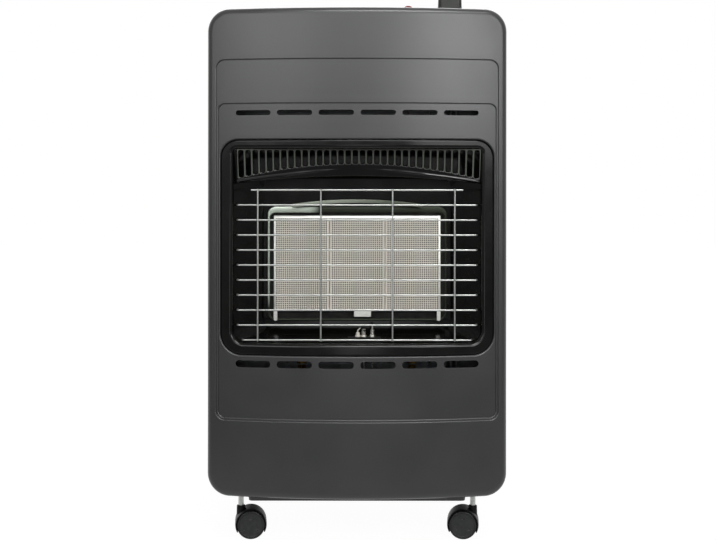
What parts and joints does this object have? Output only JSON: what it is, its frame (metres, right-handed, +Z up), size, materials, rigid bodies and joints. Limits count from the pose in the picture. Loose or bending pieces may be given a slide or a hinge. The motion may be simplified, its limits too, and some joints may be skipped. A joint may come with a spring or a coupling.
{
  "type": "portable gas cabinet heater",
  "caption": "Portable LPG cabinet heater: bowed steel front with a guarded ceramic-plaque burner, top knob and igniter, rear cylinder door and swivel casters.",
  "frame": {"origin": "on the floor under the middle of the cabinet", "axes": "+Z up, the front faces -Y, +X on the right of a viewer in front"},
  "size_m": [0.415, 0.425, 0.79],
  "materials": {
    "cabinet_enamel": "satin grey enamel",
    "black_enamel": "gloss black enamel",
    "galvanised_steel": "zinc-coated sheet",
    "aluminised_steel": "bright heat-stained sheet",
    "chromed_wire": "bright chrome",
    "ceramic": "unglazed perforated ceramic",
    "ceramic_fibre": "fibre gasket",
    "brass": "machined brass",
    "pipe_aluminium": "drawn tube",
    "zinc_screw": "zinc plated",
    "spring_steel": "drawn wire",
    "black_plastic": "moulded, fine grain",
    "knob_plastic": "moulded, satin",
    "red_plastic": "moulded, gloss",
    "lead_sleeve": "silicone sleeve",
    "copper_lead": "drawn copper"
  },
  "bodies": {
    "root": {"base_tray": "cabinet_enamel", "burner_body": "aluminised_steel", "burner_frame": "aluminised_steel", "burner_hood": "aluminised_steel", "burner_surround": "aluminised_steel", "cabinet_screws": "zinc_screw", "caster_sockets": "galvanised_steel", "ceramic_plaque_centre": "ceramic", "ceramic_plaque_left": "ceramic", "ceramic_plaque_right": "ceramic", "door_catch_magnet": "black_plastic", "front_guard": "chromed_wire", "front_panel": "cabinet_enamel", "gas_inlet": "brass", "gas_pipes": "pipe_aluminium", "gas_valve_body": "brass", "heat_shield": "galvanised_steel", "hinge_pintles": "galvanised_steel", "ignition_lead": "lead_sleeve", "injector_bracket": "galvanised_steel", "injectors": "brass", "louvre_hood": "black_enamel", "piezo_igniter": "black_plastic", "piezo_nut": "zinc_screw", "pilot_bracket": "galvanised_steel", "pilot_burner": "brass", "pilot_pipe": "pipe_aluminium", "plaque_gasket": "ceramic_fibre", "rear_upper_panel": "cabinet_enamel", "reflector_pan": "black_enamel", "side_panel_left": "cabinet_enamel", "side_panel_right": "cabinet_enamel", "spark_electrode": "lead_sleeve", "thermocouple": "copper_lead", "top_panel": "cabinet_enamel", "valve_bracket": "galvanised_steel", "valve_return_spring": "spring_steel", "venturi_tubes": "aluminised_steel", "window_bezel": "black_enamel"},
    "rear_door": {"rear_door": "cabinet_enamel", "hinge_knuckles": "galvanised_steel", "door_catch_plate": "galvanised_steel"},
    "push_sleeve": {"push_sleeve": "galvanised_steel"},
    "control_knob": {"control_knob": "knob_plastic", "valve_spindle": "brass"},
    "piezo_button": {"piezo_button": "red_plastic"},
    "caster_front_left": {"caster_hood_front_left": "black_plastic", "caster_stem_front_left": "chromed_wire"},
    "wheels_front_left": {"caster_wheels_front_left": "black_plastic"},
    "caster_front_right": {"caster_hood_front_right": "black_plastic", "caster_stem_front_right": "chromed_wire"},
    "wheels_front_right": {"caster_wheels_front_right": "black_plastic"},
    "caster_rear_left": {"caster_hood_rear_left": "black_plastic", "caster_stem_rear_left": "chromed_wire"},
    "wheels_rear_left": {"caster_wheels_rear_left": "black_plastic"},
    "caster_rear_right": {"caster_hood_rear_right": "black_plastic", "caster_stem_rear_right": "chromed_wire"},
    "wheels_rear_right": {"caster_wheels_rear_right": "black_plastic"}
  },
  "joints": [
    {"name": "door_hinge", "type": "hinge", "parent": "root", "child": "rear_door", "pos_m": [-0.203, 0.207, 0.322], "axis": [0, 0, 1], "range_deg": [0, 110]},
    {"name": "knob_push", "type": "slide", "parent": "root", "child": "push_sleeve", "axis": [0, 0, -1], "range_m": [0, 0.004], "stiffness_N_per_m": 1500, "springref_m": -0.004, "deforming": ["valve_return_spring"]},
    {"name": "knob_turn", "type": "hinge", "parent": "push_sleeve", "child": "control_knob", "pos_m": [0.135, -0.0965, 0.76], "axis": [0, 0, 1], "range_deg": [0, 210]},
    {"name": "igniter_press", "type": "slide", "parent": "root", "child": "piezo_button", "axis": [0, 0, -1], "range_m": [0, 0.006], "stiffness_N_per_m": 1500, "springref_m": -0.004},
    {"name": "swivel_front_left", "type": "hinge", "parent": "root", "child": "caster_front_left", "pos_m": [-0.1658, -0.1315, 0.06], "axis": [0, 0, 1], "continuous": true},
    {"name": "roll_front_left", "type": "hinge", "parent": "caster_front_left", "child": "wheels_front_left", "pos_m": [-0.15186, -0.13016, 0.02], "axis": [-0.0958, 0.9954, 0], "continuous": true},
    {"name": "swivel_front_right", "type": "hinge", "parent": "root", "child": "caster_front_right", "pos_m": [0.1658, -0.1315, 0.06], "axis": [0, 0, 1], "continuous": true},
    {"name": "roll_front_right", "type": "hinge", "parent": "caster_front_right", "child": "wheels_front_right", "pos_m": [0.15186, -0.13016, 0.02], "axis": [-0.0958, -0.9954, 0], "continuous": true},
    {"name": "swivel_rear_left", "type": "hinge", "parent": "root", "child": "caster_rear_left", "pos_m": [-0.1658, 0.15, 0.06], "axis": [0, 0, 1], "continuous": true},
    {"name": "roll_rear_left", "type": "hinge", "parent": "caster_rear_left", "child": "wheels_rear_left", "pos_m": [-0.16218, 0.16352, 0.02], "axis": [-0.9659, 0.2588, 0], "continuous": true},
    {"name": "swivel_rear_right", "type": "hinge", "parent": "root", "child": "caster_rear_right", "pos_m": [0.1658, 0.15, 0.06], "axis": [0, 0, 1], "continuous": true},
    {"name": "roll_rear_right", "type": "hinge", "parent": "caster_rear_right", "child": "wheels_rear_right", "pos_m": [0.16218, 0.16352, 0.02], "axis": [-0.9659, -0.2588, 0], "continuous": true}
  ]
}
